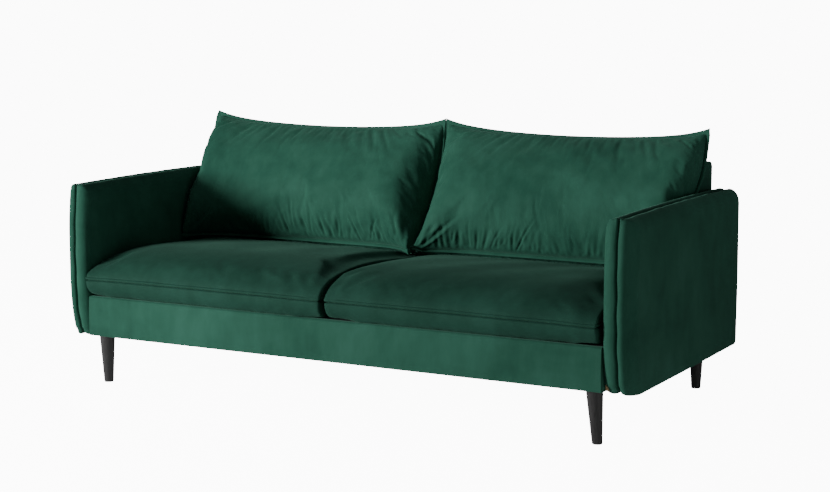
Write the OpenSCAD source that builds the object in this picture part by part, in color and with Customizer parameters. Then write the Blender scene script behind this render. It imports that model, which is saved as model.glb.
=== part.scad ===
// Two-seat sofa: a sprung base on four tapered legs, two slim upholstered
// arms, a low upholstered back frame, two box seat cushions and two loose
// pillow cushions that lean on the back frame.
// X runs across the sofa, Y from front to back, Z up. The origin is on the
// floor under the middle of the sofa. "side" is -1 for the left half as seen
// from the front and 1 for the right half.

/* [Overall] */
// Width over both arms
sofa_w = 1920; // [1800:10:2100]
// Depth from the front of the seat cushions to the rear face
sofa_d = 914; // [900:2:960]
// Thickness of plywood boards
board_t = 18; // [15:1:20]

/* [Legs] */
// Visible leg height, from the floor to the underside of the base
leg_h = 155; // [120:1:180]
// Leg diameter where it meets the base
leg_top_d = 49; // [44:1:54]
// Leg diameter at the floor
leg_foot_d = 30; // [24:1:36]
// Backward lean of the front legs in degrees
leg_rake = 4; // [0:1:6]
// Outward lean of the front legs in degrees
leg_splay = 2; // [0:1:4]
// Sideways distance from the middle of the sofa to each foot
leg_x = 841; // [820:1:842]
// Glide thickness under each leg
glide_h = 3; // [2:1:5]

/* [Base] */
// Height of the upholstered front rail
base_h = 126; // [110:1:150]
// Padding and fabric in front of and behind the base rails
rail_cover_t = 5; // [3:1:8]
// Distance from the seat cushion front to the front rail
seat_overhang = 27; // [20:1:35]

/* [Springs] */
// Wire diameter of the zigzag springs
wire_d = 3.8; // [3:0.1:4.5]
// Number of springs under each seat cushion
springs_per_seat = 5; // [4:1:6]
// Number of cross bars in each spring
spring_bars = 20; // [14:2:26]
// Straight length of each cross bar
spring_bar_l = 20; // [14:1:26]

/* [Arms] */
// Thickness of each arm
arm_w = 88; // [84:1:110]
// Height of the arm top above the floor
arm_h = 634; // [600:1:660]
// Radius along the top edges of the arms
arm_edge_r = 30; // [20:1:40]
// Radius of the rear top corner of the arms
arm_corner_r = 20; // [18:1:60]

/* [Back] */
// Height of the back frame above the floor
back_h = 716; // [690:1:740]
// Thickness of the back frame
back_t = 130; // [120:1:140]
// Number of webbing straps across the back
back_straps = 8; // [4:2:10]

/* [Cushions] */
// Height of the seat cushion top at its crest
seat_top = 420; // [410:1:424]
// Drop from the crest to the rear edge of the seat cushion
seat_fall = 52; // [20:1:60]
// Distance from the front of the seat cushion back to its crest
seat_crest = 237; // [180:1:300]
// Height of the seam along the front of the seat cushion
seat_seam_z = 338; // [320:1:350]
// Height of the back cushion ears above the floor
pillow_top = 826; // [790:1:840]
// Dip of the back cushion top between its ears
pillow_dip = 28; // [10:1:40]
// How far the ears of the back cushions reach past the arms' inner faces
ear_out = 34; // [0:1:45]
// Length of the zips
zip_l = 650; // [500:10:700]
// Width of the zip tapes
zip_w = 24; // [18:1:30]

/* [Hidden] */
$fn = 64;

// Planes that the sub-parts share
sides = [-1, 1];
half_w = sofa_w / 2;
inner_x = half_w - arm_w;
front_y = -sofa_d / 2;
back_y = sofa_d / 2;
back_front_y = back_y - back_t;
base_top = leg_h + base_h;
cover_y = front_y + seat_overhang;
seam = 3;

// Base boards
rail_y0 = cover_y + rail_cover_t;
rail_y1 = back_y - rail_cover_t;
rail_z0 = leg_h + 3;
rail_z1 = base_top - 12;
end_x1 = inner_x - seam;
end_x0 = end_x1 - board_t;
inside_y0 = rail_y0 + board_t;
inside_y1 = rail_y1 - board_t;
block_w = 74;
block_d = 60;
block_h = 40;
lip = 9;
cloth_y0 = rail_y0 + 14;

// Legs
foot_front_y = cover_y + 53.5;
leg_front = [leg_x - rail_z0 * tan(leg_splay), foot_front_y - rail_z0 * tan(leg_rake)];
leg_rear = [leg_x, inside_y1 - 10];
bolt_d = 8;
nut_d = 18;
nut_barrel_d = 10.4;
nut_barrel_l = 9;
nut_flange_t = 1.5;
leg_bolt_up = block_h + 4;
leg_bolt_down = 30;

// Springs
spring_z = rail_z1 + 3;
spring_y0 = inside_y0 + 4;
spring_pitch = floor((back_front_y - 20 - spring_y0) / (spring_bars - 1));
spring_y1 = spring_y0 + spring_pitch * (spring_bars - 1);
spring_rail_y = spring_y1 + 4;
spring_span = end_x0 - board_t / 2;
tie_d = 2.4;
tie_ys = [-170, 60];

// Arms
arm_z0 = leg_h - 5;
arm_front_y = cover_y - 14;
arm_belly_z = 470;
fabric_t = 4;
batten_t = 29;
arm_bolt_ys = [-350, 0, 350];
arm_bolt_z = (rail_z0 + rail_z1) / 2;

// Back
back_x = inner_x - fabric_t - 1;
back_foam_t = 12;
back_frame_y = back_front_y + fabric_t + back_foam_t + 2;
back_rear_y = back_y - fabric_t - 3;
back_edge_r = 20;
screw_xs = [-700, -250, 250, 700];
screw_d = 5;

// Cushions
seat_z0 = base_top + 0.5;
cushion_rear_y = back_front_y - 9;
cushion_x0 = 2;
cushion_x1 = inner_x - seam;
pillow_belly_z = seat_top + 50;
pillow_front_y = 30;
pillow_lip_y = back_front_y + 25;
shell_t = 5;
wrap_t = 20;
seat_zip_z = 326;
pillow_zip_z = 480;
zip_x0 = 110;

// Points along an arc, angles in degrees
function arc(c, r, a0, a1, n = 8) =
    [for (i = [0 : n]) let (a = a0 + (a1 - a0) * i / n) c + r * [cos(a), sin(a)]];

// Quadratic curve from p0 to p2, pulled towards p1
function curve(p0, p1, p2, n = 12) =
    [for (i = [0 : n]) let (t = i / n) (1 - t) * (1 - t) * p0 + 2 * t * (1 - t) * p1 + t * t * p2];

// A box between two corners
module box(p0, p1) {
    translate(p0)
        cube(p1 - p0);
}

// The copy of a right-hand piece on the given side
module on_side(side) {
    mirror([side < 0 ? 1 : 0, 0, 0])
        children();
}

// An outline drawn in Y and Z, extruded along X
module along_x(x0, x1) {
    translate([x0, 0, 0])
        rotate([90, 0, 90])
            linear_extrude(x1 - x0)
                children();
}

// An outline drawn in X and Z, extruded along Y
module along_y(y0, y1) {
    translate([0, y1, 0])
        rotate([90, 0, 0])
            linear_extrude(y1 - y0)
                children();
}

// A round bar along X, Y or Z
module bar_x(x0, x1, y, z, d) {
    translate([x0, y, z])
        rotate([0, 90, 0])
            cylinder(d = d, h = x1 - x0);
}

module bar_z(x, y, z0, z1, d) {
    translate([x, y, z0])
        cylinder(d = d, h = z1 - z0);
}

// ---- Legs ----

// A tapered leg whose top is centred on top, leaning by rake and splay
module leg(side, top, rake, splay) {
    taper = (leg_top_d - leg_foot_d) / leg_h;
    extra = 20;
    color([0.13, 0.12, 0.12])
        on_side(side)
            difference() {
                translate([top.x, top.y, rail_z0])
                    rotate([rake, -splay, 0])
                        translate([0, 0, -leg_h - extra])
                            cylinder(d1 = leg_foot_d - extra * taper, d2 = leg_top_d + extra * taper,
                                h = leg_h + 2 * extra);
                box([top.x - 50, top.y - 50, -60], [top.x + 50, top.y + 50, glide_h]);
                box([top.x - 50, top.y - 50, rail_z0], [top.x + 50, top.y + 50, rail_z0 + 60]);
                bar_z(top.x, top.y, rail_z0 - leg_bolt_down, rail_z0 + 1, bolt_d);
            }
}

module foot_glides() {
    color([0.2, 0.2, 0.2])
        for (side = sides) {
            bar_z(side * leg_x, foot_front_y, 0, glide_h, leg_foot_d - 2);
            bar_z(side * leg_x, leg_rear.y, 0, glide_h, leg_foot_d - 2);
        }
}

module leg_bolts() {
    color("silver")
        for (side = sides, top = [leg_front, leg_rear])
            bar_z(side * top.x, top.y, rail_z0 - leg_bolt_down, rail_z0 + leg_bolt_up, bolt_d);
}

module leg_t_nuts() {
    color("gainsboro")
        for (side = sides, top = [leg_front, leg_rear])
            translate([side * top.x, top.y, rail_z0 + block_h])
                t_nut();
}

// A T-nut with its flange above the origin and its barrel below
module t_nut() {
    difference() {
        union() {
            cylinder(d = nut_d, h = nut_flange_t);
            translate([0, 0, -nut_barrel_l])
                cylinder(d = nut_barrel_d, h = nut_barrel_l);
        }
        translate([0, 0, -nut_barrel_l - 1])
            cylinder(d = bolt_d, h = nut_barrel_l + nut_flange_t + 2);
    }
}

// ---- Base ----

module corner_block(y0, top) {
    difference() {
        box([end_x0 - block_w, y0, rail_z0], [end_x0, y0 + block_d, rail_z0 + block_h]);
        bar_z(top.x, top.y, rail_z0 - 1, rail_z0 + block_h + 1, nut_barrel_d);
    }
}

module corner_blocks() {
    color("burlywood")
        for (side = sides)
            on_side(side) {
                corner_block(inside_y0, leg_front);
                corner_block(inside_y1 - block_d, leg_rear);
            }
}

module front_rail() {
    color("burlywood")
        box([-end_x1, rail_y0, rail_z0], [end_x1, inside_y0, rail_z1]);
}

module rear_rail() {
    color("burlywood")
        difference() {
            box([-end_x1, inside_y1, rail_z0], [end_x1, rail_y1, rail_z1]);
            for (x = screw_xs)
                bar_z(x, inside_y1 + 8, rail_z1 - 30, rail_z1 + 1, screw_d);
        }
}

module end_rail(side) {
    color("burlywood")
        on_side(side)
            difference() {
                box([end_x0, inside_y0, rail_z0], [end_x1, inside_y1, rail_z1]);
                for (y = arm_bolt_ys)
                    bar_x(end_x0 - 1, end_x1 + 1, y, arm_bolt_z, bolt_d);
            }
}

module centre_rail() {
    color("burlywood")
        box([-board_t / 2, inside_y0, rail_z0], [board_t / 2, inside_y1, rail_z1]);
}

module spring_rails() {
    color("burlywood")
        for (side = sides)
            on_side(side)
                box([board_t / 2, spring_rail_y, rail_z1 - 60], [end_x0, spring_rail_y + board_t, rail_z1]);
}

// Middle of spring number i of one seat
function spring_x(i) = board_t / 2 + spring_span * (i + 0.5) / springs_per_seat;

// One half-round turn that joins two neighbouring bars
module spring_turn() {
    rotate([0, 0, -90])
        rotate_extrude(angle = 180, $fn = 32)
            translate([spring_pitch / 2, 0])
                circle(d = wire_d, $fn = 24);
}

module zigzag_spring() {
    for (k = [0 : spring_bars - 1])
        bar_x(-spring_bar_l / 2, spring_bar_l / 2, spring_y0 + k * spring_pitch, spring_z, wire_d, $fn = 24);
    for (k = [0 : spring_bars - 2])
        mirror([k % 2, 0, 0])
            translate([spring_bar_l / 2, spring_y0 + (k + 0.5) * spring_pitch, spring_z])
                spring_turn();
}

module seat_springs(side) {
    color("dimgray")
        on_side(side)
            for (i = [0 : springs_per_seat - 1])
                translate([spring_x(i), 0, 0])
                    zigzag_spring();
}

// A steel clip that holds the end bar of a spring; it is nailed to the rail
// on its +Y side
module spring_clip() {
    eye = wire_d + 0.1;
    difference() {
        union() {
            bar_x(-7, 7, 0, 3, 6.4);
            box([-7, 2, 0], [7, 12, 1.4]);
        }
        bar_x(-8, 8, 0, 3, eye);
    }
}

module spring_clips() {
    color("silver")
        for (side = sides, i = [0 : springs_per_seat - 1]) {
            translate([side * spring_x(i), spring_y1, rail_z1])
                spring_clip();
            translate([side * spring_x(i), spring_y0, rail_z1])
                mirror([0, 1, 0])
                    spring_clip();
        }
}

module spring_tie_wires() {
    tie_z = spring_z - wire_d / 2 - tie_d / 2;
    color("dimgray")
        for (side = sides, y = tie_ys)
            on_side(side)
                bar_x(board_t / 2, end_x0, y, tie_z, tie_d);
}

module platform_cloth() {
    color([0.16, 0.16, 0.17])
        box([-end_x1, rail_y0 + lip, rail_z1 + 7], [end_x1, back_front_y - 1, rail_z1 + 10]);
}

module front_rail_cover() {
    color([0.14, 0.32, 0.25])
        along_x(-inner_x, inner_x)
            polygon([[rail_y0, leg_h + 3], [rail_y0, rail_z1], [rail_y0 + lip, rail_z1],
                [rail_y0 + lip, base_top],
                each arc([cover_y + 6, base_top - 6], 6, 90, 180, 6),
                [cover_y, leg_h], [cloth_y0 - 1, leg_h], [cloth_y0 - 1, leg_h + 3]]);
}

module rear_rail_cover() {
    color([0.14, 0.32, 0.25])
        box([-inner_x, rail_y1, leg_h], [inner_x, back_y, rail_z1]);
}

module dust_cover() {
    color([0.1, 0.1, 0.1])
        difference() {
            box([-inner_x, cloth_y0, leg_h + 1.6], [inner_x, rail_y1, rail_z0]);
            for (side = sides, top = [leg_front, leg_rear])
                bar_z(side * top.x, top.y, leg_h, rail_z0 + 1, leg_top_d + 2);
        }
}

module staple(x, y) {
    box([x - 6, y - 0.6, leg_h + 1], [x + 6, y + 0.6, leg_h + 1.6]);
}

module dust_cover_staples() {
    color("silver")
        for (i = [-9 : 9])
            for (y = [cloth_y0 + 6, rail_y1 - 8])
                staple(i * 80, y);
}

// ---- Arms ----

// Front edge of the arm seen from the side: it bellies forward above the
// middle and tucks back towards the bottom
function arm_front(z) = z > arm_belly_z
    ? arm_front_y + 14 * pow((z - arm_belly_z) / (arm_h - arm_belly_z), 2)
    : arm_front_y + 36 * pow((arm_belly_z - z) / (arm_belly_z - arm_z0), 4);

// Side outline of the arm, drawn in by inset
module arm_outline(inset) {
    r = arm_corner_r - inset;
    top = arm_h - inset;
    front = [for (i = [0 : 16]) let (z = arm_z0 + (top - arm_z0) * i / 16) [arm_front(z) + inset, z]];
    polygon([each front,
        each arc([back_y - arm_corner_r, arm_h - arm_corner_r], r, 90, 0),
        [back_y - inset, arm_z0]]);
}

// The arm's block between its two side faces, drawn in by inset
module arm_block(inset) {
    r = arm_edge_r - inset;
    x0 = inner_x + inset;
    x1 = half_w - inset;
    zr = arm_h - arm_edge_r;
    intersection() {
        along_x(x0, x1)
            arm_outline(inset);
        along_y(-half_w, half_w)
            polygon([[x0, 0], [x1, 0], each arc([half_w - arm_edge_r, zr], r, 0, 90),
                each arc([inner_x + arm_edge_r, zr], r, 90, 180)]);
    }
}

// The inner face of the arm panel
panel_x0 = inner_x + fabric_t + batten_t;

module arm_panel_body(gap) {
    y0 = arm_front_y + 50 - gap;
    y1 = back_y - 30 + gap;
    box([panel_x0, y0, arm_z0 + 10], [panel_x0 + board_t, y1, arm_h - 30 + gap]);
}

module arm_panel(side) {
    color("tan")
        on_side(side)
            difference() {
                arm_panel_body(0);
                for (y = arm_bolt_ys)
                    bar_x(panel_x0 - 1, panel_x0 + board_t + 1, y, arm_bolt_z, nut_barrel_d);
            }
}

module arm_batten_body() {
    box([inner_x + fabric_t, inside_y0, rail_z0], [panel_x0, inside_y1, rail_z1]);
}

module arm_batten(side) {
    color("burlywood")
        on_side(side)
            difference() {
                arm_batten_body();
                for (y = arm_bolt_ys)
                    bar_x(inner_x, panel_x0 + 1, y, arm_bolt_z, bolt_d);
            }
}

// The foam stays clear of the cover, which is puffed out by a fibre wrap
arm_wrap_t = 16;

module arm_foam(side) {
    color("khaki")
        on_side(side)
            difference() {
                arm_block(arm_wrap_t);
                box([0, -half_w, 0], [half_w, half_w, arm_z0 + arm_wrap_t]);
                arm_panel_body(0);
                arm_batten_body();
                for (y = arm_bolt_ys)
                    bar_x(panel_x0 + board_t - 1, panel_x0 + board_t + 6, y, arm_bolt_z, nut_d + 4);
            }
}

module arm_cover(side) {
    color([0.14, 0.32, 0.25])
        on_side(side)
            difference() {
                arm_block(0);
                arm_block(fabric_t);
                for (y = arm_bolt_ys)
                    bar_x(inner_x - 1, inner_x + fabric_t + 1, y, arm_bolt_z, bolt_d);
            }
}

module arm_bolts() {
    head_l = 6;
    color("silver")
        for (side = sides, y = arm_bolt_ys)
            on_side(side) {
                bar_x(end_x0 - head_l, end_x0, y, arm_bolt_z, 2 * bolt_d);
                bar_x(end_x0, panel_x0 + board_t + 4, y, arm_bolt_z, bolt_d);
            }
}

module arm_t_nuts() {
    color("gainsboro")
        for (side = sides, y = arm_bolt_ys)
            on_side(side)
                translate([panel_x0 + board_t, y, arm_bolt_z])
                    rotate([0, 90, 0])
                        t_nut();
}

// ---- Back ----

// Side outline of the back frame, drawn in by inset
module back_outline(inset, z0) {
    r = back_edge_r - inset;
    zr = back_h - back_edge_r;
    polygon([[back_front_y + inset, z0], [back_y - inset, z0],
        each arc([back_y - back_edge_r, zr], r, 0, 90),
        each arc([back_front_y + back_edge_r, zr], r, 90, 180)]);
}

top_rail_z1 = back_h - fabric_t - 10;
top_rail_z0 = top_rail_z1 - board_t;
bottom_rail_z1 = rail_z1 + board_t;
slat_y1 = back_frame_y + board_t;

module back_ribs() {
    color("tan")
        for (x = [-back_x, -board_t / 2, back_x - board_t])
            box([x, slat_y1, bottom_rail_z1], [x + board_t, back_rear_y, top_rail_z0]);
}

module back_top_rail() {
    color("burlywood")
        box([-back_x, back_frame_y, top_rail_z0], [back_x, back_rear_y - 3, top_rail_z1]);
}

module back_bottom_rail() {
    color("burlywood")
        difference() {
            box([-back_x, slat_y1, rail_z1], [back_x, back_rear_y, bottom_rail_z1]);
            for (x = screw_xs)
                bar_z(x, inside_y1 + 8, rail_z1 - 1, bottom_rail_z1 + 1, screw_d);
        }
}

module back_slat(z0) {
    color("burlywood")
        box([-back_x, back_frame_y, z0], [back_x, slat_y1, z0 + 60]);
}

module back_webbing() {
    step = 2 * back_x / back_straps;
    color("black")
        for (i = [0 : back_straps - 1])
            translate([-back_x + (i + 0.5) * step, 0, 0])
                box([-25, back_frame_y - 2, base_top + 4], [25, back_frame_y, top_rail_z0 - 4]);
}

module back_board() {
    color("peru")
        box([-back_x, back_rear_y, rail_z1], [back_x, back_y - fabric_t, back_h - back_edge_r]);
}

module back_foam() {
    color("khaki")
        difference() {
            along_x(-back_x, back_x)
                back_outline(fabric_t, base_top);
            box([-half_w, back_frame_y - 2, 0], [half_w, back_y - fabric_t, top_rail_z1]);
        }
}

module back_cover() {
    color([0.14, 0.32, 0.25])
        difference() {
            along_x(-inner_x, inner_x)
                back_outline(0, rail_z1);
            along_x(-back_x, back_x)
                back_outline(fabric_t, rail_z1 - 1);
        }
}

module back_screws() {
    color("silver")
        for (x = screw_xs) {
            bar_z(x, inside_y1 + 8, rail_z1 - 30, bottom_rail_z1, screw_d);
            bar_z(x, inside_y1 + 8, bottom_rail_z1, bottom_rail_z1 + 3, 2 * screw_d);
        }
}

// ---- Seat cushions ----

// Height of the seat cushion top behind its crest, where it falls to the rear
function seat_top_z(y) =
    seat_top - seat_fall * pow((y - front_y - seat_crest) / (cushion_rear_y - front_y - seat_crest), 2);

// Points on a quarter ellipse in front of centre c with half-widths a and b,
// from a0 to a1 degrees above the foremost point
function nose(c, a, b, a0, a1, n = 8) =
    [for (i = [0 : n]) let (t = a0 + (a1 - a0) * i / n) c + [-a * cos(t), b * sin(t)]];

// Side outline of the seat cushion: full at the front seam, rising in a long
// curve to the crest
module seat_outline(inset) {
    tuck = 45;
    under = seat_seam_z - seat_z0 - inset;
    crest_y = front_y + seat_crest;
    rear_y = cushion_rear_y - inset;
    polygon([each nose([front_y + tuck, seat_seam_z], tuck - inset, under, -90, -15, 5),
        each nose([crest_y, seat_seam_z], seat_crest - inset, seat_top - seat_seam_z - inset, 0, 90, 12),
        for (i = [1 : 8])
            let (y = crest_y + (rear_y - crest_y) * i / 8) [y, seat_top_z(y) - inset],
        [rear_y, seat_z0 + inset]]);
}

module zip_slot(z) {
    box([zip_x0, cushion_rear_y - shell_t - 1, z - zip_w / 2],
        [zip_x0 + zip_l, cushion_rear_y + 1, z + zip_w / 2]);
}

module seat_cover(side) {
    color([0.14, 0.32, 0.25])
        on_side(side)
            difference() {
                along_x(cushion_x0, cushion_x1)
                    seat_outline(0);
                along_x(cushion_x0 + shell_t, cushion_x1 - shell_t)
                    seat_outline(shell_t);
                zip_slot(seat_zip_z);
            }
}

// The foam block, with a fibre wrap between it and the cover
module seat_core(side) {
    color("khaki")
        on_side(side)
            along_x(cushion_x0 + wrap_t, cushion_x1 - wrap_t)
                seat_outline(wrap_t);
}

// A zip: a woven tape with a row of teeth along its middle
module cushion_zip(side, z) {
    tape_y = cushion_rear_y - shell_t + 1;
    color([0.1, 0.2, 0.16])
        on_side(side) {
            box([zip_x0, tape_y, z - zip_w / 2], [zip_x0 + zip_l, tape_y + 1.5, z + zip_w / 2]);
            box([zip_x0, tape_y + 1.5, z - 3], [zip_x0 + zip_l, cushion_rear_y, z + 3]);
        }
}

// The slider with its pull tab, parked at the end near the middle of the sofa
module cushion_zip_slider(side, z) {
    y0 = cushion_rear_y + 0.3;
    color("dimgray")
        on_side(side) {
            box([zip_x0 + 4, y0, z - 5], [zip_x0 + 18, y0 + 2.4, z + 5]);
            box([zip_x0 + 8, y0 + 2.4, z - 26], [zip_x0 + 14, y0 + 4, z + 2]);
        }
}

// ---- Back cushions ----

// Side outline of the back cushion: it stands on the seat cushion, leans on
// the back frame and laps over its top edge
module pillow_outline(inset) {
    rest_z = back_h + 8;
    rear_y = cushion_rear_y - inset;
    foot_y = pillow_front_y + 40;
    polygon([each curve([pillow_front_y + inset, pillow_belly_z], [pillow_front_y + inset, 680],
            [pillow_lip_y - 22 + inset, pillow_top - inset]),
        [pillow_lip_y - inset, pillow_top - inset],
        [pillow_lip_y - inset, rest_z + 22 + inset],
        [rear_y, rest_z + inset],
        for (i = [0 : 6])
            let (y = rear_y + (foot_y - rear_y) * i / 6) [y, seat_top_z(y) + 5 + inset]]);
}

// Front outline of the back cushion: straight between the arms, flaring out
// over them to an ear, with a dip along the top
module pillow_face(inset) {
    x0 = cushion_x0 + inset;
    x1 = cushion_x1 - inset;
    top = pillow_top - inset;
    polygon([[x0, 0], [x1, 0], [x1, arm_h + 8], [x1 + ear_out, top],
        each curve([x1 + ear_out - 40, top - 10], [(x0 + x1) / 2, top - 2 * pillow_dip],
            [x0 + 40, top - 10]),
        [x0, top]]);
}

module pillow_body(inset) {
    intersection() {
        along_x(0, half_w)
            pillow_outline(inset);
        along_y(0, half_w)
            pillow_face(inset);
    }
}

module back_cushion_cover(side) {
    color([0.14, 0.32, 0.25])
        on_side(side)
            difference() {
                pillow_body(0);
                pillow_body(shell_t);
                zip_slot(pillow_zip_z);
            }
}

module back_cushion_core(side) {
    color("whitesmoke")
        on_side(side)
            pillow_body(shell_t);
}

leg(-1, leg_front, leg_rake, leg_splay);  // leg_front_left
leg(1, leg_front, leg_rake, leg_splay);  // leg_front_right
leg(-1, leg_rear, 0, 0);  // leg_rear_left
leg(1, leg_rear, 0, 0);  // leg_rear_right
foot_glides();
leg_bolts();
leg_t_nuts();
corner_blocks();
front_rail();
rear_rail();
end_rail(-1);  // left_end_rail
end_rail(1);  // right_end_rail
centre_rail();
spring_rails();
seat_springs(-1);  // left_seat_springs
seat_springs(1);  // right_seat_springs
spring_clips();
spring_tie_wires();
platform_cloth();
front_rail_cover();
rear_rail_cover();
dust_cover();
dust_cover_staples();
arm_panel(-1);  // left_arm_panel
arm_batten(-1);  // left_arm_batten
arm_foam(-1);  // left_arm_foam
arm_cover(-1);  // left_arm_cover
arm_panel(1);  // right_arm_panel
arm_batten(1);  // right_arm_batten
arm_foam(1);  // right_arm_foam
arm_cover(1);  // right_arm_cover
arm_bolts();
arm_t_nuts();
back_ribs();
back_top_rail();
back_bottom_rail();
back_slat(top_rail_z0 - 60);  // back_upper_slat
back_slat(base_top);  // back_lower_slat
back_webbing();
back_board();
back_foam();
back_cover();
back_screws();
seat_cover(-1);  // left_seat_cover
seat_core(-1);  // left_seat_core
cushion_zip(-1, seat_zip_z);  // left_seat_zip
cushion_zip_slider(-1, seat_zip_z);  // left_seat_zip_slider
seat_cover(1);  // right_seat_cover
seat_core(1);  // right_seat_core
cushion_zip(1, seat_zip_z);  // right_seat_zip
cushion_zip_slider(1, seat_zip_z);  // right_seat_zip_slider
back_cushion_cover(-1);  // left_back_cushion_cover
back_cushion_core(-1);  // left_back_cushion_core
cushion_zip(-1, pillow_zip_z);  // left_back_cushion_zip
cushion_zip_slider(-1, pillow_zip_z);  // left_back_cushion_zip_slider
back_cushion_cover(1);  // right_back_cushion_cover
back_cushion_core(1);  // right_back_cushion_core
cushion_zip(1, pillow_zip_z);  // right_back_cushion_zip
cushion_zip_slider(1, pillow_zip_z);  // right_back_cushion_zip_slider
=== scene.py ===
import math
import random

import bpy
import numpy as np
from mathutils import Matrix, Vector


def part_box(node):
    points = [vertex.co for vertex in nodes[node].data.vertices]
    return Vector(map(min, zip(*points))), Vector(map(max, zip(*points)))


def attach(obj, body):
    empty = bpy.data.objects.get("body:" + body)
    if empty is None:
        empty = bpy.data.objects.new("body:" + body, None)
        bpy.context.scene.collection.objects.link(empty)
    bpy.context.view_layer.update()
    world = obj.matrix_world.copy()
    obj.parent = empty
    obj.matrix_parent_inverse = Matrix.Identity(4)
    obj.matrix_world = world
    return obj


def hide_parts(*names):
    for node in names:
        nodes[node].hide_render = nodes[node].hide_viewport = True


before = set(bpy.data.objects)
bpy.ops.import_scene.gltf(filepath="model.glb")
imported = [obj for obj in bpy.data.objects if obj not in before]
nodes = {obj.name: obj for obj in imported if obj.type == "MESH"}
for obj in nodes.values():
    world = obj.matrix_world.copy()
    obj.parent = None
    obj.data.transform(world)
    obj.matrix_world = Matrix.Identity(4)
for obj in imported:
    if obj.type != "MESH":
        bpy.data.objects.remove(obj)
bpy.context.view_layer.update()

# ---------------------------------------------------------------------------
# The studio: a pale floor, a white surround, a large soft light from the front
# left, a weaker one from the right and one overhead. The camera stands to the
# right of the sofa, a little above it, and looks down slightly.
camera_turn = math.radians(28.425)
camera_dip = math.radians(7)
camera_distance = 5.3
camera_aim = Vector((0.185, -0.218, 0.585))
camera_data = bpy.data.cameras.new("camera")
camera_data.lens = 77.57
camera_data.sensor_width = 36
camera_data.shift_y = -0.0399
camera = bpy.data.objects.new("camera", camera_data)
back_from_aim = Vector((math.sin(camera_turn) * math.cos(camera_dip),
                        -math.cos(camera_turn) * math.cos(camera_dip), math.sin(camera_dip)))
camera.location = camera_aim + camera_distance * back_from_aim
camera.rotation_euler = (math.radians(90) - camera_dip, 0, camera_turn)
bpy.context.scene.collection.objects.link(camera)
bpy.context.scene.camera = camera


def soft_light(name, place, size, power):
    data = bpy.data.lights.new(name, "AREA")
    data.shape = "SQUARE"
    data.size = size
    data.energy = power
    light = bpy.data.objects.new(name, data)
    light.location = place
    light.rotation_euler = (Vector((0, 0, 0.45)) - light.location).to_track_quat("-Z", "Y").to_euler()
    bpy.context.scene.collection.objects.link(light)


soft_light("front_left_light", Vector((-3.1, -3.7, 1.25)), 1.2, 285)
soft_light("right_light", Vector((3.8, -1.2, 0.60)), 1.1, 15)
soft_light("top_light", Vector((0.6, 0.4, 3.4)), 1.6, 5)


def new_material(name, roughness=0.5, metallic=0.0):
    """A material with its main shader, its roughness and metalness set"""
    material = bpy.data.materials.new(name)
    material.use_nodes = True
    shader = material.node_tree.nodes["Principled BSDF"]
    shader.inputs["Roughness"].default_value = roughness
    shader.inputs["Metallic"].default_value = metallic
    return material, shader


def add_node(material, kind, inputs=(), **settings):
    node = material.node_tree.nodes.new(kind)
    for key, value in settings.items():
        setattr(node, key, value)
    for key, value in inputs:
        if isinstance(value, bpy.types.NodeSocket):
            material.node_tree.links.new(value, node.inputs[key])
        else:
            node.inputs[key].default_value = value
    return node


def stretched_place(material, scale):
    """Object coordinates, scaled along each axis"""
    place = add_node(material, "ShaderNodeTexCoord")
    return add_node(material, "ShaderNodeMapping", [("Vector", place.outputs["Object"]), ("Scale", scale)])


def colour_ramp(material, factor, stops):
    ramp = add_node(material, "ShaderNodeValToRGB", [("Fac", factor)])
    while len(ramp.color_ramp.elements) < len(stops):
        ramp.color_ramp.elements.new(0.5)
    for element, (position, colour) in zip(ramp.color_ramp.elements, stops):
        element.position = position
        element.color = (*colour, 1)
    return ramp


surround_light = 0.08
surround_white = 11
world = bpy.data.worlds.new("surround")
bpy.context.scene.world = world
world.use_nodes = True
surround = world.node_tree.nodes["Background"]
surround.inputs["Color"].default_value = (1, 1, 1, 1)
seen = world.node_tree.nodes.new("ShaderNodeLightPath")
strength = world.node_tree.nodes.new("ShaderNodeMath")
strength.operation = "MULTIPLY_ADD"
strength.inputs[1].default_value = surround_white
strength.inputs[2].default_value = surround_light
world.node_tree.links.new(seen.outputs["Is Camera Ray"], strength.inputs[0])
world.node_tree.links.new(strength.outputs[0], surround.inputs["Strength"])

bpy.ops.object.select_all(action="DESELECT")
bpy.ops.mesh.primitive_plane_add(size=40, location=(0, 0, 0))
floor = bpy.context.object
floor.name = "floor"
floor_paint, floor_shader = new_material("pale_floor", roughness=0.9)
floor_shader.inputs["Base Color"].default_value = (0.93, 0.93, 0.93, 1)
floor_shader.inputs["Emission Color"].default_value = (1, 1, 1, 1)
floor_seen = add_node(floor_paint, "ShaderNodeLightPath")
floor_glow = add_node(floor_paint, "ShaderNodeMath",
                      [(0, floor_seen.outputs["Is Camera Ray"]), (1, 11)], operation="MULTIPLY")
floor_paint.node_tree.links.new(floor_glow.outputs[0], floor_shader.inputs["Emission Strength"])
floor.data.materials.append(floor_paint)


# ---------------------------------------------------------------------------
# The legs: turned and tapered hardwood, sprayed with satin black lacquer that
# lets a little of the grain show, each on a moulded plastic glide.
def paint(names, material):
    """Gives a CAD node, or several, one material"""
    for name in names:
        mesh = nodes[name].data
        mesh.materials.clear()
        mesh.materials.append(material)


def grained(name, light, dark, scale, roughness, bump=0.0002):
    """Wood whose grain runs along the axis with the smallest scale"""
    material, shader = new_material(name, roughness=roughness)
    place = stretched_place(material, scale)
    waves = add_node(material, "ShaderNodeTexNoise",
                     [("Vector", place.outputs[0]), ("Scale", 1), ("Detail", 6), ("Distortion", 0.8)])
    ramp = colour_ramp(material, waves.outputs["Fac"], [(0.32, dark), (0.68, light)])
    material.node_tree.links.new(ramp.outputs[0], shader.inputs["Base Color"])
    ridges = add_node(material, "ShaderNodeBump", [("Height", waves.outputs["Fac"]), ("Distance", bump)])
    material.node_tree.links.new(ridges.outputs[0], shader.inputs["Normal"])
    return material


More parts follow.
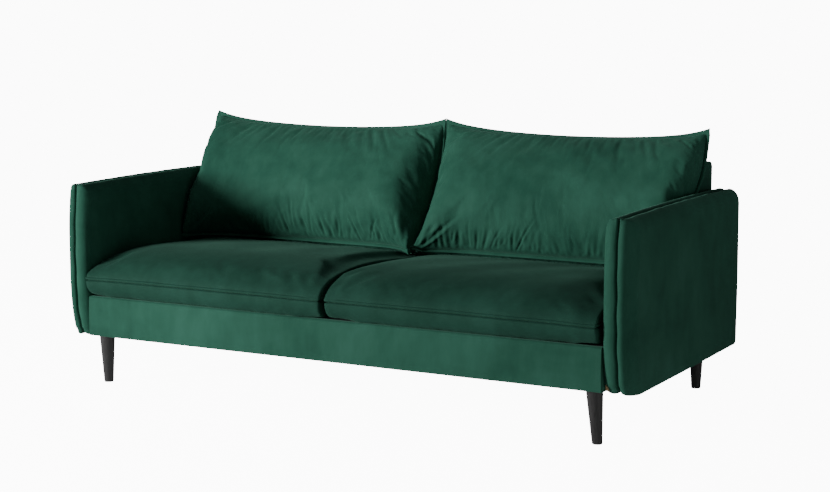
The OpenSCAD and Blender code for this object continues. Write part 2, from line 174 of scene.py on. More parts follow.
leg_names = ["leg_front_left", "leg_front_right", "leg_rear_left", "leg_rear_right"]
black_lacquer = grained("black_lacquer", (0.030, 0.029, 0.029), (0.014, 0.013, 0.013), (160, 160, 9), 0.34, 0.0001)
black_lacquer.node_tree.nodes["Principled BSDF"].inputs["Coat Weight"].default_value = 0.25
black_lacquer.node_tree.nodes["Principled BSDF"].inputs["Coat Roughness"].default_value = 0.3
paint(leg_names, black_lacquer)

glide_plastic, glide_shader = new_material("glide_plastic", roughness=0.55)
glide_place = stretched_place(glide_plastic, (900, 900, 900))
glide_specks = add_node(glide_plastic, "ShaderNodeTexNoise", [("Vector", glide_place.outputs[0]), ("Scale", 1)])
glide_ramp = colour_ramp(glide_plastic, glide_specks.outputs["Fac"],
                         [(0.3, (0.02, 0.02, 0.02)), (0.7, (0.035, 0.035, 0.035))])
glide_plastic.node_tree.links.new(glide_ramp.outputs[0], glide_shader.inputs["Base Color"])
paint(["foot_glides"], glide_plastic)


# ---------------------------------------------------------------------------
# The wooden base and back: planed softwood rails, plywood ribs and arm panels
# and a hardboard back panel, screwed and bolted together.
softwood = grained("softwood", (0.66, 0.47, 0.27), (0.46, 0.29, 0.14), (5, 70, 70), 0.62)
paint(["corner_blocks", "front_rail", "rear_rail", "left_arm_batten", "right_arm_batten", "back_top_rail",
       "back_bottom_rail", "back_upper_slat", "back_lower_slat", "spring_rails"], softwood)
rail_wood = grained("rail_wood", (0.66, 0.47, 0.27), (0.46, 0.29, 0.14), (70, 5, 70), 0.62)
paint(["left_end_rail", "right_end_rail", "centre_rail"], rail_wood)
plywood = grained("plywood", (0.70, 0.54, 0.34), (0.52, 0.37, 0.21), (260, 12, 12), 0.6)
paint(["back_ribs", "left_arm_panel", "right_arm_panel"], plywood)
hardboard = grained("hardboard", (0.30, 0.18, 0.10), (0.22, 0.13, 0.07), (300, 300, 300), 0.7)
paint(["back_board"], hardboard)


# ---------------------------------------------------------------------------
# The metal: zinc plated bolts, T-nuts, screws, clips and staples, and zigzag
# springs and tie wires of dark oiled spring wire.
def brushed(name, light, dark, roughness):
    material, shader = new_material(name, roughness=roughness, metallic=1.0)
    place = stretched_place(material, (500, 500, 60))
    streaks = add_node(material, "ShaderNodeTexNoise", [("Vector", place.outputs[0]), ("Scale", 1), ("Detail", 3)])
    ramp = colour_ramp(material, streaks.outputs["Fac"], [(0.3, dark), (0.7, light)])
    material.node_tree.links.new(ramp.outputs[0], shader.inputs["Base Color"])
    return material


paint(["leg_bolts", "leg_t_nuts", "arm_bolts", "arm_t_nuts", "back_screws", "dust_cover_staples",
       "spring_clips"], brushed("zinc", (0.70, 0.71, 0.72), (0.50, 0.51, 0.53), 0.35))
paint(["left_seat_springs", "right_seat_springs", "spring_tie_wires"],
      brushed("spring_wire", (0.16, 0.16, 0.17), (0.09, 0.09, 0.10), 0.4))
paint(["left_seat_zip_slider", "right_seat_zip_slider", "left_back_cushion_zip_slider",
       "right_back_cushion_zip_slider"], brushed("zip_metal", (0.24, 0.25, 0.25), (0.16, 0.17, 0.17), 0.3))


# ---------------------------------------------------------------------------
# The foam inside: a plain woven cloth, used here for the cream polyurethane foam
# of the arms, the back and the seat cores.
def woven(name, light, dark, threads, roughness=0.85):
    """Plain cloth with the given number of threads in a metre"""
    material, shader = new_material(name, roughness=roughness)
    place = stretched_place(material, (threads, threads, threads))
    cells = add_node(material, "ShaderNodeTexVoronoi", [("Vector", place.outputs[0]), ("Scale", 1)])
    ramp = colour_ramp(material, cells.outputs["Distance"], [(0.1, light), (0.8, dark)])
    material.node_tree.links.new(ramp.outputs[0], shader.inputs["Base Color"])
    relief = add_node(material, "ShaderNodeBump", [("Height", cells.outputs["Distance"]), ("Distance", 0.0002)])
    material.node_tree.links.new(relief.outputs[0], shader.inputs["Normal"])
    return material


cream_foam = woven("cream_foam", (0.80, 0.72, 0.48), (0.62, 0.52, 0.32), 700, 0.95)
paint(["left_arm_foam", "right_arm_foam", "back_foam", "left_seat_core", "right_seat_core"], cream_foam)


# ---------------------------------------------------------------------------
# The rail covers: velvet pulled over a thin wadding, round the rail and stapled
# under it. The pull leaves the face slightly full, with faint long waves.
def velvet(name, mid, light, dark):
    """Cut pile: the colour clouds where the pile lies over, and it shines at its edges"""
    material, shader = new_material(name, roughness=0.8)
    shader.inputs["Specular IOR Level"].default_value = 0.12
    shader.inputs["Sheen Weight"].default_value = 0.22
    shader.inputs["Sheen Roughness"].default_value = 0.42
    shader.inputs["Sheen Tint"].default_value = (0.30, 0.72, 0.54, 1)
    cloud_place = stretched_place(material, (3.2, 3.2, 4.0))
    clouds = add_node(material, "ShaderNodeTexNoise",
                      [("Vector", cloud_place.outputs[0]), ("Scale", 1), ("Detail", 4), ("Roughness", 0.55),
                       ("Distortion", 0.5)])
    stroke_place = stretched_place(material, (26, 26, 9))
    strokes = add_node(material, "ShaderNodeTexNoise",
                       [("Vector", stroke_place.outputs[0]), ("Scale", 1), ("Detail", 5), ("Roughness", 0.6)])
    lie = add_node(material, "ShaderNodeMath", [(0, clouds.outputs["Fac"]), (1, 0.72)], operation="MULTIPLY")
    lie = add_node(material, "ShaderNodeMath",
                   [(0, strokes.outputs["Fac"]), (1, 0.28), (2, lie.outputs[0])], operation="MULTIPLY_ADD")
    ramp = colour_ramp(material, lie.outputs[0], [(0.36, dark), (0.5, mid), (0.66, light)])
    material.node_tree.links.new(ramp.outputs[0], shader.inputs["Base Color"])
    pile_place = stretched_place(material, (1300, 1300, 1300))
    pile = add_node(material, "ShaderNodeTexNoise",
                    [("Vector", pile_place.outputs[0]), ("Scale", 1), ("Detail", 2)])
    relief = add_node(material, "ShaderNodeBump",
                      [("Height", pile.outputs["Fac"]), ("Distance", 0.0003), ("Strength", 0.6)])
    soft = add_node(material, "ShaderNodeBump",
                    [("Height", strokes.outputs["Fac"]), ("Distance", 0.0012), ("Strength", 0.35),
                     ("Normal", relief.outputs[0])])
    material.node_tree.links.new(soft.outputs[0], shader.inputs["Normal"])
    return material


green_velvet = velvet("green_velvet", (0.018, 0.082, 0.053), (0.026, 0.104, 0.070), (0.011, 0.060, 0.038))
# The seat cushions wear a darker copy of the same velvet with weaker sheen: painted shade over the whole cushion,
# whose top the front light only grazes.
seat_velvet_painted_shade = velvet("seat_velvet_painted_shade", (0.011, 0.050, 0.033), (0.016, 0.066, 0.045), (0.007, 0.037, 0.024))
seat_velvet_painted_shade.node_tree.nodes["Principled BSDF"].inputs["Sheen Weight"].default_value = 0.10
# The back cushions and their flanges wear a lighter copy of the same velvet: painted light on the pillow fronts.
pillow_velvet_painted_light = velvet("pillow_velvet_painted_light", (0.025, 0.105, 0.069), (0.036, 0.133, 0.091), (0.015, 0.077, 0.050))


def start_box(name, low, high):
    """A box between two corners, alone and selected, ready to be cut and shaped"""
    bpy.ops.object.select_all(action="DESELECT")
    middle = (low + high) / 2
    bpy.ops.mesh.primitive_cube_add(size=1, location=middle, scale=high - low)
    piece = bpy.context.object
    piece.name = name
    bpy.ops.object.transform_apply(location=True, rotation=True, scale=True)
    return piece


def cut(piece, axis, places):
    """Cuts a piece with planes square to one axis"""
    normal = [0, 0, 0]
    normal[axis] = 1
    bpy.context.view_layer.objects.active = piece
    bpy.ops.object.mode_set(mode="EDIT")
    for place in places:
        point = [0, 0, 0]
        point[axis] = place
        bpy.ops.mesh.select_all(action="SELECT")
        bpy.ops.mesh.bisect(plane_co=point, plane_no=normal)
    bpy.ops.object.mode_set(mode="OBJECT")


def spaced(low, high, count):
    """Places that split a length into count equal stretches"""
    return [low + (high - low) * i / count for i in range(1, count)]


def corners(piece):
    places = np.empty(len(piece.data.vertices) * 3)
    piece.data.vertices.foreach_get("co", places)
    return places.reshape(-1, 3)


def place_corners(piece, places):
    piece.data.vertices.foreach_set("co", places.reshape(-1))
    piece.data.update()


def bevel_edges(piece, test, width, segments):
    """Rounds the sharp edges whose middle passes the test"""
    bpy.context.view_layer.objects.active = piece
    bpy.ops.object.mode_set(mode="EDIT")
    bpy.ops.mesh.select_all(action="DESELECT")
    bpy.ops.object.mode_set(mode="OBJECT")
    bpy.context.tool_settings.mesh_select_mode = (False, True, False)
    for edge in piece.data.edges:
        a, b = (piece.data.vertices[i].co for i in edge.vertices)
        edge.select = test((a + b) / 2, b - a)
    bpy.ops.object.mode_set(mode="EDIT")
    bpy.ops.mesh.bevel(offset=width, segments=segments, profile=0.5)
    bpy.ops.object.mode_set(mode="OBJECT")


def finish_piece(piece, body, material, angle=50):
    """Smooths a piece, gives it its material and hangs it on its body"""
    piece.data.materials.clear()
    piece.data.materials.append(material)
    bpy.ops.object.select_all(action="DESELECT")
    piece.select_set(True)
    bpy.context.view_layer.objects.active = piece
    bpy.ops.object.shade_smooth_by_angle(angle=math.radians(angle))
    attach(piece, body)


def ripple(places, pitch, seed):
    """Smooth random waves about one unit high, the same on every run"""
    draw = random.Random(seed)
    total = np.zeros(len(places))
    for _ in range(9):
        turn = np.array([draw.gauss(0, 1) for _ in range(3)])
        turn *= 2 * math.pi / pitch / np.linalg.norm(turn) * draw.uniform(0.6, 1.5)
        total += np.sin(places @ turn + draw.uniform(0, 2 * math.pi))
    return total / 3


def rail_cover(node, face_axis_sign):
    low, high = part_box(node)
    piece = start_box(node + "_velvet", low, high)
    face = low.y if face_axis_sign < 0 else high.y
    bevel_edges(piece, lambda m, d: abs(m.y - face) < 1e-4 and abs(d.x) > 0.5, 0.006, 4)
    cut(piece, 0, spaced(low.x, high.x, 90))
    cut(piece, 2, spaced(low.z + 0.008, high.z - 0.008, 10))
    places = corners(piece)
    height = (places[:, 2] - low.z) / (high.z - low.z)
    on_face = np.clip(1 - np.abs(places[:, 1] - face) / 0.004, 0, 1)
    full = 0.0022 * np.sin(np.pi * np.clip(height, 0, 1)) + 0.0009 * ripple(places, 0.35, 4)
    places[:, 1] += face_axis_sign * on_face * full
    place_corners(piece, places)
    finish_piece(piece, "frame", green_velvet)
    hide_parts(node)


def rail_end(side):
    """The velvet folded round the end of the front rail, where the arm leaves it in view"""
    low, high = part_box("front_rail_cover")
    end = side * high.x
    piece = start_box(("left" if side < 0 else "right") + "_rail_end_velvet",
                      Vector((min(end, end + side * 0.0016), low.y + 0.003, low.z + 0.0005)),
                      Vector((max(end, end + side * 0.0016), low.y + 0.075, high.z - 0.004)))
    bevel_edges(piece, lambda m, d: abs(m.x - end) > 0.001, 0.0007, 2)
    finish_piece(piece, "frame", green_velvet)


rail_cover("front_rail_cover", -1)
rail_cover("rear_rail_cover", 1)
rail_end(-1)
rail_end(1)


# ---------------------------------------------------------------------------
# The stretched cloths: a black spunbonded dust cover stapled under the rails,
# the same cloth laid over the springs, and elastic straps across the back frame.
spunbond = woven("black_cloth", (0.030, 0.030, 0.032), (0.014, 0.014, 0.015), 400)
webbing = woven("webbing", (0.035, 0.035, 0.04), (0.012, 0.012, 0.014), 250)
strap_count = 8
strap_width = 0.05


def stretched_sheet(name, low, high, squares, slack, material):
    """A thin level sheet pulled tight at its rim; slack is how far its middle hangs"""
    piece = start_box(name, low, high)
    cut(piece, 0, spaced(low.x, high.x, squares[0]))
    cut(piece, 1, spaced(low.y, high.y, squares[1]))
    places = corners(piece)
    u = (places[:, 0] - low.x) / (high.x - low.x)
    v = (places[:, 1] - low.y) / (high.y - low.y)
    flat_ground = places * (1, 1, 0)
    places[:, 2] += slack * (1 + 0.3 * ripple(flat_ground, 0.25, 3)) * 16 * u * (1 - u) * v * (1 - v)
    place_corners(piece, places)
    finish_piece(piece, "frame", material)
    return piece


def leg_hole(piece, leg):
    """Cuts the cloth away round the top of a leg"""
    places = corners(nodes[leg])
    top = places[places[:, 2] > places[:, 2].max() - 0.0005]
    middle = (top.min(axis=0) + top.max(axis=0)) / 2
    radius = (top[:, 0].max() - top[:, 0].min()) / 2 + 0.0012
    bpy.ops.object.select_all(action="DESELECT")
    bpy.ops.mesh.primitive_cylinder_add(vertices=48, radius=radius, depth=0.05, location=middle)
    drill = bpy.context.object
    bpy.ops.object.transform_apply(location=True, rotation=True, scale=True)
    hole = piece.modifiers.new("leg_hole", "BOOLEAN")
    hole.operation = "DIFFERENCE"
    hole.solver = "EXACT"
    hole.object = drill
    bpy.ops.object.select_all(action="DESELECT")
    piece.select_set(True)
    bpy.context.view_layer.objects.active = piece
    bpy.ops.object.modifier_apply(modifier=hole.name)
    bpy.data.objects.remove(drill)


dust_low, dust_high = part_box("dust_cover")
dust_low.z = dust_high.z - 0.001
dust_sheet = stretched_sheet("dust_cover_sheet", dust_low, dust_high, (60, 30), -0.0003, spunbond)
for leg in ("leg_front_left", "leg_front_right", "leg_rear_left", "leg_rear_right"):
    leg_hole(dust_sheet, leg)
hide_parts("dust_cover")

platform_low, platform_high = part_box("platform_cloth")
platform_low.z = platform_high.z - 0.0015
platform_sheet = stretched_sheet("platform_sheet", platform_low, platform_high, (48, 20), -0.001, spunbond)
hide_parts("platform_cloth")

strap_low, strap_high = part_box("back_webbing")
strap_step = (strap_high.x - strap_low.x - strap_width) / (strap_count - 1)
for i in range(strap_count):
    x0 = strap_low.x + strap_step * i
    strap = start_box(f"back_strap_{i + 1}", Vector((x0, strap_low.y + 0.0002, strap_low.z)),
                      Vector((x0 + strap_width, strap_high.y - 0.0002, strap_high.z)))
    cut(strap, 2, spaced(strap_low.z, strap_high.z, 20))
    finish_piece(strap, "frame", webbing)
    if i == 0:
        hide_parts("back_webbing")


# ---------------------------------------------------------------------------
# The arms: each is a foam-wrapped panel in a velvet sleeve of two sides, sewn
# together by one seam that runs up the front, over the top and down the rear.
# The seam sinks between the two full halves and ends in a small pinched peak
# at the top of the front.
arm_low, arm_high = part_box("right_arm_cover")
arm_belly_z = 0.470
arm_top_swell = 0.004
arm_half = (arm_high.x - arm_low.x) / 2
arm_mid_x = (arm_high.x + arm_low.x) / 2
arm_round = 0.036
arm_lobe = 0.012
arm_front_round = 0.030
arm_seam_sink = 0.008


def arm_front_edge(z):
    """The front edge bellies out above the middle and tucks back at the bottom"""
    if z > arm_belly_z:
        return arm_low.y + 0.014 * ((z - arm_belly_z) / (arm_high.z - arm_belly_z)) ** 2
    return arm_low.y + 0.031 * ((arm_belly_z - z) / (arm_belly_z - arm_low.z)) ** 4


def arc(centre, radius, start, end, count):
    """Points along an arc in Y and Z, angles in degrees"""
    angles = [math.radians(start + (end - start) * i / count) for i in range(count + 1)]
    return [(centre[0] + radius * math.cos(a), centre[1] + radius * math.sin(a)) for a in angles]


def arm_outline():
    """The side outline of an arm, from the bottom of the front edge round to the rear"""
    low_r, peak_r, rear_r = 0.016, 0.010, 0.016
    z0 = arm_low.z + low_r
    points = arc((arm_front_edge(arm_low.z) + low_r, z0), low_r, 270, 180, 6)
    front_z = spaced(z0, arm_high.z - peak_r, 50)
    points += [(arm_front_edge(z), z) for z in front_z]
    points += arc((arm_front_edge(arm_high.z) + peak_r, arm_high.z - peak_r), peak_r, 180, 90, 5)
    y0, y1 = arm_front_edge(arm_high.z) + peak_r, arm_high.y - rear_r
    points += [(y, arm_high.z + arm_top_swell * math.sin(math.pi * (y - y0) / (y1 - y0)))
               for y in spaced(y0, y1, 80)]
    points += arc((arm_high.y - rear_r, arm_high.z - rear_r), rear_r, 90, 0, 8)
    points += [(arm_high.y, z) for z in spaced(arm_high.z - rear_r, arm_low.z + low_r, 40)]
    points += arc((arm_high.y - low_r, z0), low_r, 0, -90, 6)
    points += [(y, arm_low.z) for y in spaced(arm_high.y - low_r, arm_front_edge(arm_low.z) + low_r, 60)]
    return points


def arm(side):
    name = ("left" if side < 0 else "right") + "_arm_cover"
    outline = arm_outline()
    bpy.ops.object.select_all(action="DESELECT")
    bpy.ops.mesh.primitive_circle_add(vertices=len(outline), radius=1, fill_type="NGON",
                                      location=(arm_mid_x, 0, 0))
    piece = bpy.context.object
    piece.name = name + "_velvet"
    bpy.ops.object.transform_apply(location=True, rotation=True, scale=True)
    place_corners(piece, np.array([(arm_mid_x, y, z) for y, z in outline]))
    centre = Vector((arm_mid_x, 0.351, 0.200))
    half_y = centre.y - arm_low.y
    half_z = arm_high.z - centre.z
    turns = [math.radians(a) for a in (6, 14, 23, 32, 41, 50, 59, 68, 77, 84, 90)]
    rim = [(x, 0, 0) for x in (0, 0.0014, 0.0028, 0.0044, 0.0062, 0.0088, arm_lobe)]
    rim += [(arm_lobe + (arm_half - arm_lobe) * math.sin(a), arm_front_round * (1 - math.cos(a)),
             arm_round * (1 - math.cos(a))) for a in turns]
    rim += [(arm_half + 0.0004 * i, arm_front_round + inward, arm_round + inward) for i, inward in
            enumerate((0.012, 0.03, 0.055, 0.085, 0.12, 0.155, 0.19), 1)]
    bpy.ops.object.mode_set(mode="EDIT")
    bpy.ops.mesh.select_all(action="SELECT")
    for (x0, y0, z0), (x1, y1, z1) in zip(rim, rim[1:]):
        bpy.ops.mesh.extrude_region_move(TRANSFORM_OT_translate={"value": (x1 - x0, 0, 0)})
        shrink = (1, (half_y - y1) / (half_y - y0), (half_z - z1) / (half_z - z0))
        bpy.ops.transform.resize(value=shrink, center_override=centre)
    bpy.ops.object.mode_set(mode="OBJECT")
    mesh = piece.data
    for polygon in mesh.polygons:
        polygon.select = len(polygon.vertices) > 4 and abs(polygon.center.x - arm_mid_x) < 1e-5
    bpy.ops.object.mode_set(mode="EDIT")
    bpy.context.tool_settings.mesh_select_mode = (False, False, True)
    bpy.ops.mesh.select_all(action="DESELECT")
    bpy.ops.object.mode_set(mode="OBJECT")
    for polygon in mesh.polygons:
        polygon.select = len(polygon.vertices) > 4 and abs(polygon.center.x - arm_mid_x) < 1e-5
    bpy.ops.object.mode_set(mode="EDIT")
    bpy.ops.mesh.delete(type="FACE")
    bpy.ops.object.mode_set(mode="OBJECT")
    mirror = piece.modifiers.new("halves", "MIRROR")
    mirror.use_axis = (True, False, False)
    bpy.ops.object.select_all(action="DESELECT")
    empty = bpy.data.objects.new("arm_middle", None)
    empty.location = (arm_mid_x, 0, 0)
    bpy.context.scene.collection.objects.link(empty)
    bpy.context.view_layer.update()
    mirror.mirror_object = empty
    mirror.use_clip = True
    mirror.merge_threshold = 0.0002
    bpy.context.view_layer.objects.active = piece
    bpy.ops.object.modifier_apply(modifier=mirror.name)
    bpy.data.objects.remove(empty)
    bpy.ops.object.mode_set(mode="EDIT")
    bpy.ops.mesh.select_all(action="SELECT")
    bpy.ops.mesh.normals_make_consistent(inside=False)
    bpy.ops.object.mode_set(mode="OBJECT")
    sew_arm(piece)
    if side < 0:
        places = corners(piece)
        places[:, 0] *= -1
        place_corners(piece, places)
        piece.data.flip_normals()
    finish_piece(piece, "frame", green_velvet, 80)
    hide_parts(name)


def sew_arm(piece):
    """Sinks the seam, lifts the pinched peak and lets the outer side hang a little lower"""
    places = corners(piece)
    normals = np.array([v.normal for v in piece.data.vertices])
    off = np.abs(places[:, 0] - arm_mid_x)
    peak_y, peak_z = arm_front_edge(arm_high.z) + 0.004, arm_high.z - 0.004
    from_peak = np.hypot(places[:, 1] - peak_y, places[:, 2] - peak_z)
    pinch = np.exp(-((from_peak / 0.015) ** 2)) * np.exp(-(((off - 0.005) / 0.004) ** 2))
    sink = arm_seam_sink * np.exp(-((off / 0.0028) ** 2)) + 0.0045 * np.exp(-((off / 0.010) ** 2))
    pucker = 0.0005 * ripple(places, 0.035, 8) * np.exp(-((off / 0.02) ** 2))
    places -= normals * (sink + pucker)[:, None]
    places[:, 2] += 0.007 * pinch
    places[:, 1] -= 0.003 * pinch
    places[:, 0] += 0.0010 * ripple(places, 0.09, 15) * np.exp(-((off / 0.012) ** 2))
    outer = np.clip((places[:, 0] - arm_mid_x - 0.010) / (arm_half - 0.010), 0, 1)
    t = np.clip((places[:, 1] - arm_low.y - 0.03) / 0.11, 0, 1)
    places[:, 1] += 0.030 * outer ** 2 * (1 - t * t * (3 - 2 * t))
    low_part = np.clip(1 - (places[:, 2] - arm_low.z) / 0.09, 0, 1) ** 2
    places[:, 2] -= 0.006 * outer * low_part
    places[:, 0] += 0.0012 * ripple(places, 0.5, 21) * (off > arm_half * 0.9)
    place_corners(piece, places)


arm(-1)
arm(1)


# ---------------------------------------------------------------------------
# The back: one velvet cover pulled down over the foam-padded back frame, with
# rounded top edges and rounded corners at its ends. It is open underneath.
back_low, back_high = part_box("back_cover")
back_edge_round = 0.020
back_end_round = 0.006
back_cover = start_box("back_cover_velvet", back_low, back_high)
bevel_edges(back_cover, lambda m, d: m.z > back_high.z - 1e-4 and abs(d.x) > 0.5, back_edge_round, 8)
bevel_edges(back_cover, lambda m, d: abs(m.x) > back_high.x - 1e-4 and m.z > back_low.z + 0.01,
            back_end_round, 5)
cut(back_cover, 0, spaced(back_low.x + 0.02, back_high.x - 0.02, 60))
cut(back_cover, 2, spaced(back_low.z, back_high.z - 0.03, 22))
bpy.ops.object.mode_set(mode="EDIT")
bpy.context.tool_settings.mesh_select_mode = (False, False, True)
bpy.ops.mesh.select_all(action="DESELECT")
bpy.ops.object.mode_set(mode="OBJECT")
for polygon in back_cover.data.polygons:
    polygon.select = polygon.center.z < back_low.z + 1e-4
bpy.ops.object.mode_set(mode="EDIT")
bpy.ops.mesh.delete(type="FACE")
bpy.ops.object.mode_set(mode="OBJECT")
back_places = corners(back_cover)
back_normals = np.array([v.normal for v in back_cover.data.vertices])
back_places += back_normals * (0.0008 * ripple(back_places, 0.3, 12) - 0.0006)[:, None]
place_corners(back_cover, back_places)
back_wall = back_cover.modifiers.new("cloth_thickness", "SOLIDIFY")
back_wall.thickness = 0.002
back_wall.offset = -1
bpy.context.view_layer.objects.active = back_cover
bpy.ops.object.modifier_apply(modifier=back_wall.name)
finish_piece(back_cover, "frame", green_velvet)
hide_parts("back_cover")


# ---------------------------------------------------------------------------
# The seat cushions: a foam block in a fibre wrap and a loose velvet cover. The
# top rolls over a full rounded nose to a seam along the front, and the top is
# crowned. A zip closes the flat rear side.
seat_low, seat_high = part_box("right_seat_cover")
seat_crest_y = seat_low.y + 0.237
seat_seam_z = 0.338
seat_side_round = 0.007
seat_fall = 0.052
seat_crown = 0.004
seat_front_full = 0.004


def seat_top_z(y):
    """Height of the top behind the crest, where it falls away to the rear"""
    return seat_high.z - seat_fall * ((y - seat_crest_y) / (seat_high.y - seat_crest_y)) ** 2


def nose(centre, wide, tall, start, end, count):
    """Points on a quarter ellipse in front of a centre; 0 degrees is its foremost point"""
    angles = [math.radians(start + (end - start) * i / count) for i in range(count + 1)]
    return [(centre[0] - wide * math.cos(a), centre[1] + tall * math.sin(a)) for a in angles]


def seat_outline():
    """The side outline of a seat cushion, from under the nose over the top to the rear"""
    tip = seat_low.y - seat_front_full
    points = nose((tip + 0.048, seat_seam_z), 0.048, seat_seam_z - seat_low.z, -90, -7.5, 11)
    points += nose((seat_crest_y, seat_seam_z), seat_crest_y - tip, seat_high.z - seat_seam_z, 0, 90, 40)
    end_z = seat_top_z(seat_high.y - 0.012) - 0.012
    points += [(y, seat_top_z(y)) for y in spaced(seat_crest_y, seat_high.y - 0.012, 36)]
    points += arc((seat_high.y - 0.012, end_z), 0.012, 90, 0, 5)
    points += [(seat_high.y, z) for z in spaced(end_z, seat_low.z + 0.008, 6)]
    points += arc((seat_high.y - 0.008, seat_low.z + 0.008), 0.008, 0, -90, 3)
    points += [(y, seat_low.z) for y in spaced(seat_high.y - 0.008, tip + 0.048, 40)]
    return points


def apply_modifiers(piece):
    bpy.ops.object.select_all(action="DESELECT")
    piece.select_set(True)
    bpy.context.view_layer.objects.active = piece
    for modifier in list(piece.modifiers):
        bpy.ops.object.modifier_apply(modifier=modifier.name)


def remesh(piece, voxel):
    modifier = piece.modifiers.new("even_mesh", "REMESH")
    modifier.mode = "VOXEL"
    modifier.voxel_size = voxel
    apply_modifiers(piece)


def puff(piece, cap, pressure, stiffness, spare, held=None):
    """Inflates a closed cover as cloth and caps how far any point moves"""
    cloth = piece.modifiers.new("cloth", "CLOTH")
    settings = cloth.settings
    settings.quality = 4
    settings.mass = 0.3
    settings.tension_stiffness = stiffness
    settings.compression_stiffness = stiffness
    settings.shear_stiffness = stiffness / 3
    settings.bending_stiffness = 0.4
    settings.air_damping = 2
    settings.use_pressure = True
    settings.uniform_pressure_force = pressure
    settings.shrink_min = -spare
    settings.effector_weights.gravity = 0
    cloth.collision_settings.use_collision = False
    cloth.collision_settings.use_self_collision = False
    if held is not None:
        group = piece.vertex_groups.new(name="held")
        for index in np.nonzero(held > 0.02)[0]:
            group.add([int(index)], float(held[index]), "REPLACE")
        settings.vertex_group_mass = "held"
    before = corners(piece)
    last = 20
    cloth.point_cache.frame_start = 1
    cloth.point_cache.frame_end = last
    for number in range(1, last + 1):
        bpy.context.scene.frame_set(number)
    evaluated = piece.evaluated_get(bpy.context.evaluated_depsgraph_get())
    after = np.array([v.co for v in evaluated.data.vertices])
    piece.modifiers.remove(cloth)
    bpy.context.scene.frame_set(1)
    move = after - before
    length = np.linalg.norm(move, axis=1)
    limited = cap * np.tanh(length / cap)
    place_corners(piece, before + move * (limited / np.maximum(length, 1e-9))[:, None])


def seat_cushion(side):
    word = "left" if side < 0 else "right"
    outline = seat_outline()
    middle = (seat_low + seat_high) / 2
    bpy.ops.object.select_all(action="DESELECT")
    bpy.ops.mesh.primitive_circle_add(vertices=len(outline), radius=1, fill_type="NGON", location=middle)
    piece = bpy.context.object
    piece.name = word + "_seat_cushion"
    bpy.ops.object.transform_apply(location=True, rotation=True, scale=True)
    place_corners(piece, np.array([(seat_low.x, y, z) for y, z in outline]))
    half_y, half_z = (seat_high.y - seat_low.y) / 2, (seat_high.z - seat_low.z) / 2
    turns = [math.radians(a) for a in (0, 30, 60, 90)]
    half_x = (seat_high.x - seat_low.x) / 2
    steps = [(-half_x, inward) for inward in (0.060, 0.046, 0.032, 0.019)]
    steps += [(-half_x + seat_side_round * (1 - math.cos(a)), seat_side_round * (1 - math.sin(a))) for a in turns]
    steps += [(x, 0) for x in spaced(-half_x + seat_side_round, half_x - seat_side_round, 60)]
    steps += [(-x, inward) for x, inward in reversed(steps[:8])]
    bpy.ops.object.mode_set(mode="EDIT")
    bpy.ops.mesh.select_all(action="SELECT")
    first = steps[0][1]
    bpy.ops.transform.resize(value=(1, (half_y - first) / half_y, (half_z - first) / half_z),
                             center_override=middle)
    for (x0, in0), (x1, in1) in zip(steps, steps[1:]):
        bpy.ops.mesh.extrude_region_move(TRANSFORM_OT_translate={"value": (x1 - x0, 0, 0)})
        shrink = (1, (half_y - in1) / (half_y - in0), (half_z - in1) / (half_z - in0))
        bpy.ops.transform.resize(value=shrink, center_override=middle)
    bpy.ops.mesh.select_all(action="SELECT")
    bpy.ops.mesh.normals_make_consistent(inside=False)
    bpy.ops.object.mode_set(mode="OBJECT")
    puff(piece, cap=0.009, pressure=3, stiffness=12, spare=0.0)
    subdivision = piece.modifiers.new("finer", "SUBSURF")
    subdivision.levels = subdivision.render_levels = 1
    apply_modifiers(piece)
    cut(piece, 2, [seat_seam_z + 0.001 * off for off in (-6, -3.5, -2, -1, 0, 1, 2, 3.5, 6, 8.5, 10.5, 12.5)])
    sew_seat(piece, 30 + side)
    if side < 0:
        places = corners(piece)
        places[:, 0] *= -1
        place_corners(piece, places)
        piece.data.flip_normals()
    finish_piece(piece, word + "_seat_cushion", seat_velvet_painted_shade, 80)
    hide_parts(word + "_seat_cover")


def smooth(low, high, values):
    """Rises smoothly from 0 at low to 1 at high"""
    t = np.clip((values - low) / (high - low), 0, 1)
    return t * t * (3 - 2 * t)


def sew_seat(piece, seed):
    """Lets the arm side sit lower, presses in the front seam and clears the zip"""
    places = corners(piece)
    normals = np.array([v.normal for v in piece.data.vertices])
    upper = smooth(seat_low.z + 0.02, seat_seam_z, places[:, 2])
    near_arm = smooth(seat_high.x - 0.17, seat_high.x, places[:, 0])
    places[:, 2] -= 0.011 * near_arm * smooth(seat_seam_z, seat_high.z, places[:, 2])
    across = (places[:, 0] - seat_low.x) / (seat_high.x - seat_low.x)
    places[:, 2] += seat_crown * 4 * across * (1 - across) * smooth(seat_seam_z, seat_high.z, places[:, 2])
    places += normals * (0.0014 * ripple(places, 0.26, seed) * upper)[:, None]
    from_side = np.minimum(places[:, 0] - seat_low.x, seat_high.x - places[:, 0])
    places += normals * (0.0013 * np.exp(-(((from_side - 0.004) / 0.003) ** 2)))[:, None]
    front = 1 - smooth(seat_low.y + 0.05, seat_low.y + 0.10, places[:, 1])
    line_end = smooth(seat_low.x + 0.045, seat_low.x + 0.055, places[:, 0])
    from_seam = places[:, 2] - seat_seam_z + 0.002 * near_arm
    sink = 0.0075 * np.exp(-((from_seam / 0.0020) ** 2))
    sink += 0.0024 * np.exp(-(((from_seam - 0.0105) / 0.0016) ** 2)) * line_end
    sink -= 0.0018 * np.exp(-(((from_seam - 0.006) / 0.0040) ** 2))
    places -= normals * (sink * front)[:, None]
    places[:, 0] = np.clip(places[:, 0], seat_low.x + 0.0005, seat_high.x - 0.0005)
    places[:, 0] += 0.002 * near_arm ** 6 * (1 - smooth(seat_low.y + 0.012, seat_low.y + 0.045, places[:, 1]))
    places[:, 1] = np.minimum(places[:, 1], seat_high.y - 0.001)
    places[:, 2] = np.maximum(places[:, 2], seat_low.z + 0.0003)
    clear_zip(places, "right_seat_zip")
    place_corners(piece, places)


